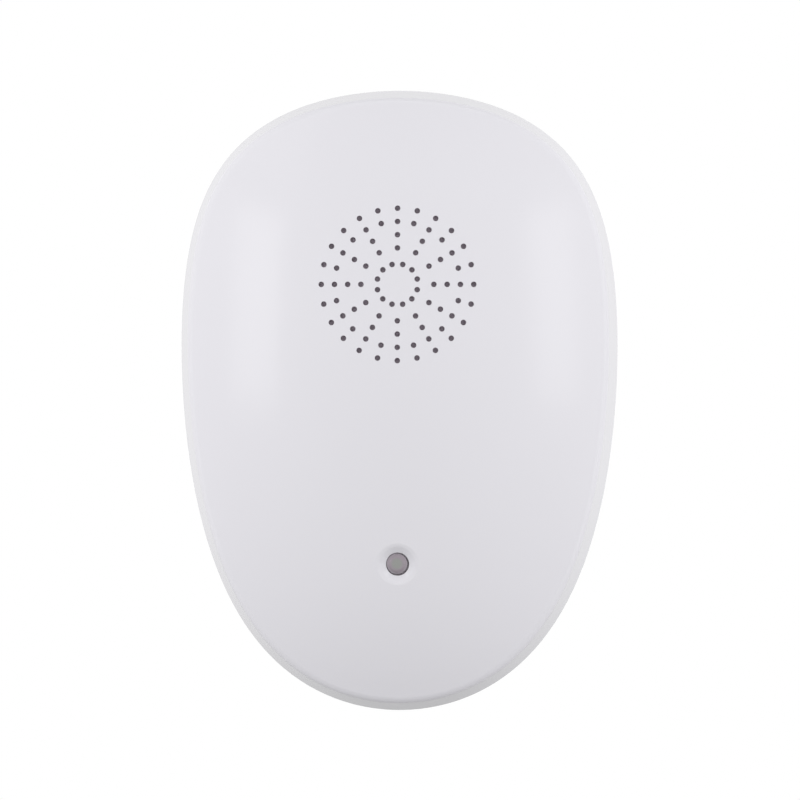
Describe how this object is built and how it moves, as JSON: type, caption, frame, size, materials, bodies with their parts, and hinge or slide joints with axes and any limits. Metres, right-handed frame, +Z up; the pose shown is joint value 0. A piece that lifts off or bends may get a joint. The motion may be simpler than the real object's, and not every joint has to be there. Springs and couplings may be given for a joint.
{
  "type": "ultrasonic pest repeller",
  "caption": "Egg-shaped plug-in ultrasonic pest repeller with a round field of sound holes in its domed front, a small indicator lamp below, and a wall plug with round pins behind.",
  "frame": {"origin": "centre of the plug's engagement face, midway between the two pins, in the plane that meets the wall socket", "axes": "+Z up along the tall axis of the case, +Y out of the back along the plug pins towards the wall, +X to the right seen from the front"},
  "size_m": [0.0662, 0.064, 0.094],
  "materials": {
    "case_white": "glossy moulded ABS, very pale lavender white",
    "plug_white": "satin moulded polycarbonate",
    "label_blank": "blank silver-grey sticker",
    "screw_steel": "zinc plated",
    "pin_nickel": "nickel plated brass",
    "sleeve_black": "moulded insulating sleeve",
    "tag_brass": "bright stamped brass",
    "cloth_grey": "open acoustic cloth, grey",
    "gasket_foam": "closed-cell foam",
    "speaker_black": "moulded ABS",
    "clamp_grey": "moulded nylon",
    "cone_paper": "pressed paper",
    "piezo_ceramic": "silvered ceramic",
    "lamp_lens": "diffused epoxy, unlit",
    "lead_tin": "tinned steel",
    "spacer_nylon": "moulded nylon",
    "board_green": "solder-masked phenolic laminate",
    "solder": "bright solder",
    "fuse_body": "ceramic tube",
    "capacitor_yellow": "potted box",
    "varistor_blue": "epoxy coated",
    "chip_black": "moulded epoxy",
    "can_sleeve": "sleeved aluminium can",
    "ferrite": "ground ferrite",
    "bobbin_black": "moulded phenolic",
    "winding_tape": "polyester tape over enamelled copper",
    "resistor_blue": "lacquered film",
    "ceramic_tan": "dipped coating",
    "wire_brown": "insulated wire",
    "wire_blue": "insulated wire",
    "wire_red": "insulated wire",
    "wire_black": "insulated wire"
  },
  "bodies": {
    "root": {"front_shell": "case_white", "rear_shell": "case_white", "plug_insert": "plug_white", "rating_label": "label_blank", "case_screws": "screw_steel", "plug_insert_screws": "screw_steel", "board_screws": "screw_steel", "speaker_screws": "screw_steel", "plug_pin_left": "pin_nickel", "plug_pin_right": "pin_nickel", "pin_sleeve_left": "sleeve_black", "pin_sleeve_right": "sleeve_black", "solder_tag_left": "tag_brass", "solder_tag_right": "tag_brass", "speaker_cloth": "cloth_grey", "speaker_gasket": "gasket_foam", "speaker_frame": "speaker_black", "speaker_back_cap": "speaker_black", "speaker_clamp": "clamp_grey", "speaker_cone": "cone_paper", "piezo_plate": "tag_brass", "piezo_ceramic": "piezo_ceramic", "speaker_terminals": "tag_brass", "led_lens": "lamp_lens", "led_leads": "lead_tin", "led_spacer": "spacer_nylon", "main_board": "board_green", "solder_joints": "solder", "fuse": "fuse_body", "x_capacitor": "capacitor_yellow", "varistor": "varistor_blue", "bridge_rectifier": "chip_black", "control_chip": "chip_black", "transistors": "chip_black", "diodes": "chip_black", "bulk_capacitor": "can_sleeve", "output_capacitor": "can_sleeve", "drive_inductor": "ferrite", "transformer_core": "ferrite", "transformer_bobbin": "bobbin_black", "transformer_winding": "winding_tape", "resistors": "resistor_blue", "ceramic_capacitors": "ceramic_tan", "mains_wire_live": "wire_brown", "mains_wire_neutral": "wire_blue", "speaker_wire_red": "wire_red", "speaker_wire_black": "wire_black"}
  },
  "joints": []
}
